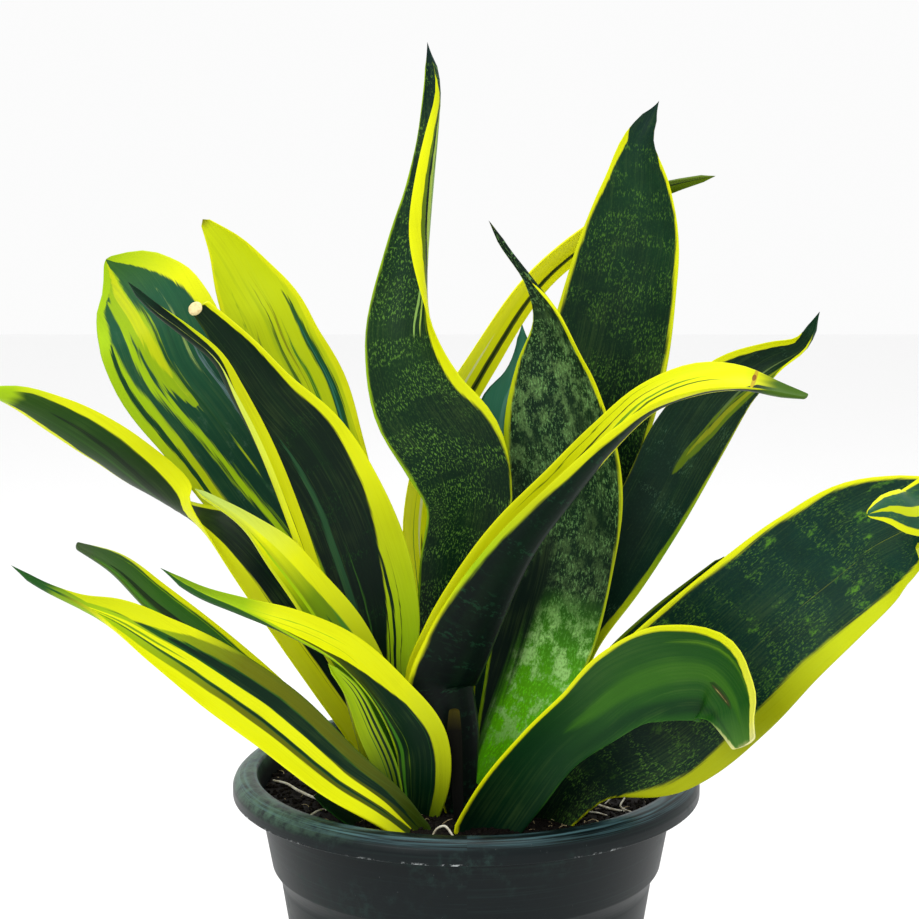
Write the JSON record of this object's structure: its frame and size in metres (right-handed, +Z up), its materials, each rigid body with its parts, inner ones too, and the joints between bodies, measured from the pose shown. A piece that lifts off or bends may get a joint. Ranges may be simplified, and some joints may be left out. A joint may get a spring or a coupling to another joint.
{
  "type": "potted snake plant",
  "caption": "Leafy clump of yellow-edged dark green snake plant blades, some curling, in a round tapered plastic nursery pot filled with soil.",
  "frame": {"origin": "centre of the pot's flat underside", "axes": "+Z up, -Y towards the front from which the plant is seen, +X to the right seen from the front"},
  "size_m": [0.364, 0.2213, 0.48],
  "materials": {
    "pot": "charcoal moulded plastic with a soft sheen on the lip",
    "soil": "moist near-black potting mix with pale fibres",
    "leaf_green": "waxy mottled dark green with yellow margins",
    "leaf_lime": "waxy yellow and lime with green stripes",
    "sheath": "dry papery brown",
    "root": "pale dry root"
  },
  "bodies": {
    "root": {"pot": "pot", "soil": "soil", "leaf_back_slender": "leaf_green", "leaf_broad_striped": "leaf_green", "leaf_centre_broad": "leaf_green", "leaf_cut_tip": "leaf_green", "leaf_far_left": "leaf_green", "leaf_folded_tip": "leaf_green", "leaf_front_arching": "leaf_green", "leaf_front_hooked": "leaf_green", "leaf_front_low": "leaf_lime", "leaf_front_spiked": "leaf_lime", "leaf_hooked": "leaf_green", "leaf_left_curling": "leaf_lime", "leaf_low_left": "leaf_green", "leaf_right_behind": "leaf_green", "leaf_right_dark": "leaf_green", "leaf_short_blue": "leaf_green", "leaf_stub": "leaf_green", "leaf_tall_right": "leaf_green", "leaf_tall_rolled": "leaf_green", "leaf_yellow": "leaf_lime", "leaf_young_striped": "leaf_green", "dry_sheath": "sheath", "root_left": "root", "root_front": "root", "root_right": "root"}
  },
  "joints": []
}
